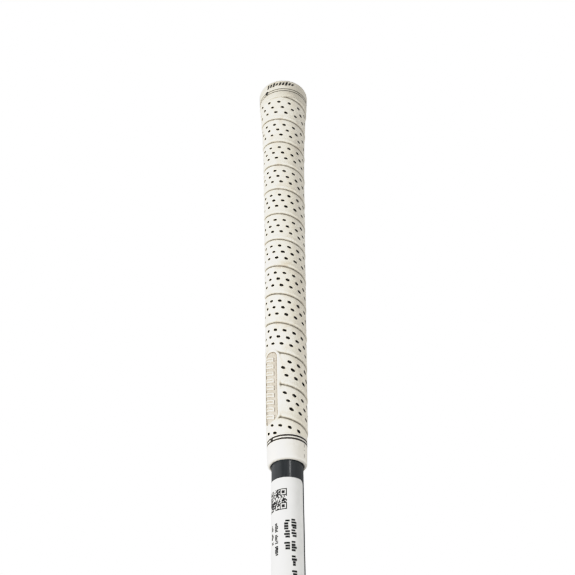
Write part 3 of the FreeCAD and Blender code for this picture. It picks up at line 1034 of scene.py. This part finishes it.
def butt_cap():
    """Flared cap with a rolled lower band, two moulded lines, a rounded edge and a vented face."""
    vent_r, dish_r, dish_depth, inside = 1.25, 8.8, 0.4, SHAFT_TOP + 0.2
    socket_r = float(wrap_radius(WRAP_TOP)) - 2.7
    corners = [
        (vent_r, inside, 0),
        (socket_r, inside, 0),
        (socket_r, WRAP_TOP + 0.02, 0),
        (cap_side(0, WRAP_TOP) - 0.45, WRAP_TOP + 0.02, 0),
        (cap_side(0, WRAP_TOP) + 0.02, WRAP_TOP + 0.75, 0.5),
        (cap_side(0, WRAP_TOP + 2.2) + 0.12, WRAP_TOP + 2.2, 1.6),
    ]
    corners += line_grooves(CAP_RING_LEVELS, cap_side, 0.7)
    corners += [
        (CAP_R, CAP_TOP - CAP_EDGE, 0.3),
        (CAP_R, CAP_TOP, CAP_EDGE - 0.1),
        (dish_r + 0.4, CAP_TOP, 0.25),
        (dish_r, CAP_TOP - dish_depth, 0.25),
        (vent_r + 0.9, CAP_TOP - dish_depth, 0.3),
        (vent_r, CAP_TOP - 1.0, 0.3),
    ]
    return turned("butt_cap_shell", rounded(corners), CAP_RUBBER)


def cap_ticks():
    """Slanted dashes of uneven height round the front of the rim: a plain pattern, no lettering."""
    middle, step, lean, half = -7.0, 7.6, 1.6, 2.5
    z = (TICK_LOW + TICK_TOP) / 2
    outlines = []
    for number, height in enumerate(TICK_HEIGHTS):
        angle = middle + (number - (len(TICK_HEIGHTS) - 1) / 2) * step
        tall = (TICK_TOP - TICK_LOW) / 2 * height
        outlines.append(four_sided(angle - half, angle + half, z - tall, z + tall, lean))
    return tiles("cap_tick_dashes", outlines, cap_side, MARK_PAINT, 0.04, 0.3)


def cap_dot():
    """Round alignment dot on the upper line."""
    angle, radius, steps = -43.0, 1.3, 18
    half = math.degrees(radius / CAP_R)
    turns = [2 * math.pi * i / steps for i in range(steps)]
    outline = [(angle + half * math.cos(t), CAP_RING_LEVELS[0] + radius * math.sin(t)) for t in turns]
    return tiles("cap_index_mark", [outline], cap_side, MARK_PAINT, 0.05, 0.3)


# --- collar ---

def collar_side(angle, z):
    """Outside radius of the collar above its lip, the same all round."""
    share = (z - MOUTH - COLLAR_LIP) / (COLLAR_TOP - MOUTH - COLLAR_LIP)
    return COLLAR_LOW_R + share * (COLLAR_TOP_R - COLLAR_LOW_R)


def mouth_collar():
    """Smooth collar with two moulded lines and a rounded lip."""
    mouth_r = CORE_R + 0.5
    corners = [
        (CORE_R, MOUTH + 3.2, 0),
        (mouth_r, MOUTH + 1.6, 0),
        (mouth_r, MOUTH + 0.02, 0.15),
        (collar_side(0, MOUTH) + 0.02, MOUTH + 0.02, 1.35),
    ]
    corners += line_grooves(COLLAR_RING_LEVELS, collar_side, 0.98)
    corners += [
        (collar_side(0, COLLAR_TOP), COLLAR_TOP - 0.02, 0.2),
        (CORE_R, COLLAR_TOP - 0.02, 0),
    ]
    return turned("mouth_collar_shell", rounded(corners), COLLAR_RUBBER)


def collar_bar():
    """Short mark that joins the collar's two lines."""
    angle, half = -48.0, 4.4
    high, low = COLLAR_RING_LEVELS
    outline = four_sided(angle - half, angle + half, low, high)
    return tiles("collar_index_mark", [outline], collar_side, COLLAR_LINE, 0.06, 0.3)


def collar_flash():
    """Broken flash line of the collar's mould."""
    angle, half, taper = 57.0, 1.5, 0.2
    height = COLLAR_RING_LEVELS[1] - MOUTH
    outlines = []
    for low_share, high_share in FLASH_SPANS:
        low, high = MOUTH + low_share * height, MOUTH + high_share * height
        middle = (low + high) / 2
        outlines.append([
            (angle - half / 2, low),
            (angle + half / 2, low + taper),
            (angle + half, middle),
            (angle + half / 2, high),
            (angle - half / 2, high - taper),
            (angle - half, middle),
        ])
    return tiles("collar_mould_flash", outlines, collar_side, FLASH_RUBBER, 0.04, 0.2)


# --- shaft and label ---

def shaft_tube():
    corners = [
        (BORE_R, 0, 0.2),
        (SHAFT_R, 0, 0.3),
        (SHAFT_R, SHAFT_TOP, 0.1),
        (BORE_R, SHAFT_TOP, 0.1),
    ]
    return turned("shaft_tube", rounded(corners), SHAFT_COAT, segments=160)


def label_surface(angle, z):
    """Outside of the label, which lifts slightly along its right-hand edge; the same at any level."""
    lift = LABEL_LIFT * smooth_step((angle - LABEL_TO + LABEL_LIFT_DEG) / LABEL_LIFT_DEG)
    return SHAFT_R + LABEL_THICKNESS + lift


def shaft_label():
    """A paper sheet wrapped on the shaft with rounded corners."""
    columns, rows = 96, 30
    width = math.radians(LABEL_TO - LABEL_FROM) * SHAFT_R
    points = []
    for layer in (0.0, LABEL_THICKNESS):
        for i in range(rows + 1):
            for j in range(columns + 1):
                angle = LABEL_FROM + (LABEL_TO - LABEL_FROM) * j / columns
                into = max(LABEL_CORNER - min(j, columns - j) / columns * width, 0)
                pull = LABEL_CORNER - math.sqrt(max(LABEL_CORNER ** 2 - into ** 2, 0))
                low, high = LABEL_LOW + pull, LABEL_TOP - pull
                z = low + (high - low) * i / rows
                points.append(place(float(label_surface(angle, z)) - layer, angle, z))
    return sheet("label_sheet", points, rows, columns, LABEL_PAPER)


def bar(left, right, low, high):
    """A printed bar from left to right, in millimetres round the shaft, and from low to high."""
    scale = math.degrees(1 / (SHAFT_R + LABEL_THICKNESS))
    return four_sided(left * scale, right * scale, low, high)


def code_cells(chance):
    """Dark cells (across, down) of a block pattern: three framed squares, random cells between."""
    far = CODE_CELLS - CODE_FRAME
    dark = []
    for across in range(CODE_CELLS):
        for down in range(CODE_CELLS):
            lit = chance.random() < CODE_DARK
            for left, top in ((far, 0), (far, far), (0, 0)):
                x, y = across - left, down - top
                edge = min(x, CODE_FRAME - 1 - x, y, CODE_FRAME - 1 - y)
                if edge >= 0:
                    lit = edge != 1
            if lit:
                dark.append((across, down))
    return dark


def label_print():
    """Blocks and plain bars laid out like a stock label; they spell and encode nothing."""
    chance = random.Random(11)
    outlines = []
    left, top = CODE_RIGHT - CODE_CELL * CODE_CELLS, LABEL_TOP - CODE_BELOW_TOP
    for across, down in code_cells(chance):
        x, z = left + across * CODE_CELL, top - down * CODE_CELL
        outlines.append(bar(x, x + CODE_CELL, z - CODE_CELL, z))
    for line_left, line_right, start, length, stroke in LABEL_LINES:
        width = line_right - line_left
        z = LABEL_TOP - start
        end = z - length
        left_in_word = chance.randint(3, 7)
        while z > end + stroke:
            right = line_right - width * chance.choice((0.0, 0.0, 0.25))
            left = line_left + width * chance.choice((0.0, 0.0, 0.2))
            outlines.append(bar(left, right, z - stroke * chance.uniform(1.0, 1.4), z))
            z -= stroke * 1.5
            left_in_word -= 1
            if left_in_word == 0:
                z -= stroke * 2
                left_in_word = chance.randint(3, 7)
    return tiles("label_print", outlines, label_surface, LABEL_INK, 0.04, 0.03)


# --- build ---

finished(wrap_skin(), "wrap_skin", "wrap_strip", "badge_frame")
finished(badge_panel(), "badge_floor", "badge_plate")
finished(badge_line(), "badge_floor")
finished(badge_motif(), "badge_raised", "badge_motif")
finished(butt_cap(), "cap_rubber", "butt_cap")
for which, level in zip(("upper", "lower"), CAP_RING_LEVELS):
    ring = line_paint("cap_line_" + which, level, cap_side, 0.29, CAP_LINE)
    finished(ring, "cap_line", "cap_ring_" + which)
finished(cap_ticks(), "mark_ink", "cap_tick_marks")
finished(cap_dot(), "mark_ink", "cap_index_dot")
finished(mouth_collar(), "collar_rubber", "mouth_collar")
for which, level in zip(("upper", "lower"), COLLAR_RING_LEVELS):
    ring = line_paint("collar_line_" + which, level, collar_side, 0.47, COLLAR_LINE)
    finished(ring, "collar_line", "collar_ring_" + which)
finished(collar_bar(), "collar_line", "collar_index_bar")
finished(collar_flash(), "collar_rubber")
finished(shaft_tube(), "shaft_finish", "shaft")
finished(shaft_label(), "label_paper", "shaft_label")
finished(label_print(), "label_paper")

for node, material in (("grip_tape", TAPE), ("underlisting", CORE_RUBBER), ("felt_backing", FELT)):
    frame["nodes"][node].data.materials.clear()
    frame["nodes"][node].data.materials.append(material)


# --- stage ---

def floor():
    """A plain pale floor, well below the part, which is held by its shaft."""
    mesh = bpy.data.meshes.new("floor")
    corners = four_sided(-FLOOR_HALF, FLOOR_HALF, -FLOOR_HALF, FLOOR_HALF)
    mesh.from_pydata([(x, y, FLOOR_LEVEL) for x, y in corners], [], [(0, 1, 2, 3)])
    s = Surface("floor_pale", specular=0.2)
    cloud = s.noise(400, detail=2)
    s.colour(s.mixed((0.86, 0.86, 0.86), (0.89, 0.89, 0.89), cloud))
    s.roughness(cloud, 0.7, 0.8)
    s.set({"Emission Color": (1, 1, 1, 1), "Emission Strength": 0.15})
    mesh.materials.append(s.material)
    obj = bpy.data.objects.new("floor", mesh)
    bpy.context.scene.collection.objects.link(obj)


def light_strength(tree):
    """Strength of the world as a light, by direction: a product of smooth changes."""
    direction = add_node(tree, "ShaderNodeTexCoord", {}).outputs["Generated"]
    along = add_node(tree, "ShaderNodeSeparateXYZ", {"Vector": direction}).outputs
    inputs = {0: direction, 1: (math.sin(DARK_GAP) * 0.9, -math.cos(DARK_GAP) * 0.9, 0.43)}
    facing = add_node(tree, "ShaderNodeVectorMath", inputs, operation="DOT_PRODUCT").outputs["Value"]
    changes = [
        (along["X"], -1, 1, 1.04, 0.60),
        (along["Y"], 0.0, 1.0, 1.0, 0.38),
        (along["Z"], -0.1, 1.0, 1.0, 0.4),
        (facing, 0.9, 0.975, 1.0, 0.1),
    ]
    strength = LIGHT_LEVEL
    for change in changes:
        strength = product(tree, ramp(tree, *change), strength)
    return strength


def world():
    """White behind the part; as a light, brighter below and on the left, dim behind and above."""
    made = bpy.data.worlds.new("studio")
    made.use_nodes = True
    tree = made.node_tree
    tree.nodes.clear()
    white = (1, 1, 1, 1)
    seen = add_node(tree, "ShaderNodeBackground", {"Color": white, "Strength": WHITE_LEVEL})
    light = add_node(tree, "ShaderNodeBackground", {"Color": white, "Strength": light_strength(tree)})
    ray = add_node(tree, "ShaderNodeLightPath", {}).outputs["Is Camera Ray"]
    inputs = {"Fac": ray, 1: light.outputs[0], 2: seen.outputs[0]}
    mix = add_node(tree, "ShaderNodeMixShader", inputs)
    add_node(tree, "ShaderNodeOutputWorld", {"Surface": mix.outputs[0]})
    bpy.context.scene.world = made


def tone():
    """A plain display curve that holds the bright side of the skin below white."""
    view = bpy.context.scene.view_settings
    view.view_transform = "Standard"
    view.use_curve_mapping = True
    mapping = view.curve_mapping
    mapping.white_level = (WHITE_LEVEL, WHITE_LEVEL, WHITE_LEVEL)
    for light, shown in ((0.2, 0.2), (0.5, 0.5), (0.75, 0.745), (0.95, 0.855), (1.2, 0.915)):
        mapping.curves[3].points.new(light / WHITE_LEVEL, shown)
    mapping.update()


def aimed(obj, place_m, look):
    """Puts an object in the scene, looking along a direction."""
    obj.location = place_m
    obj.rotation_mode = "QUATERNION"
    obj.rotation_quaternion = Vector(look).to_track_quat("-Z", "Y")
    bpy.context.scene.collection.objects.link(obj)


def area_light(name, place_m, target, size, watts):
    data = bpy.data.lights.new(name, "AREA")
    data.shape = "DISK"
    data.size = size
    data.energy = watts
    aimed(bpy.data.objects.new(name, data), place_m, Vector(target) - Vector(place_m))


def camera():
    """Below and in front of the part, close to it, looking up along it."""
    data = bpy.data.cameras.new("camera")
    data.sensor_width = 36.0
    data.lens = CAMERA_LENS
    obj = bpy.data.objects.new("camera", data)
    aimed(obj, CAMERA_PLACE, CAMERA_LOOK)
    obj.rotation_quaternion @= Quaternion((0, 0, 1), math.radians(CAMERA_ROLL))
    bpy.context.scene.camera = obj


floor()
world()
area_light("key", (-0.98, -0.7, -0.2), (cad_box[0] + cad_box[1]) / 2, 0.45, 13)
area_light("fill", (0.75, -0.2, -0.25), (0, 0, 0.1), 0.3, 0.5)
area_light("low_fill", (0.2, -0.08, -0.03), (0, 0, 0.08), 0.08, 0.1)
area_light("top", (0.05, 0.3, 1.25), (0, 0, 0.35), 0.5, 5)
area_light("strip", (0.225, -0.64, 0.42), (0, 0, 0.09), 0.09, 0.35)
camera()
tone()
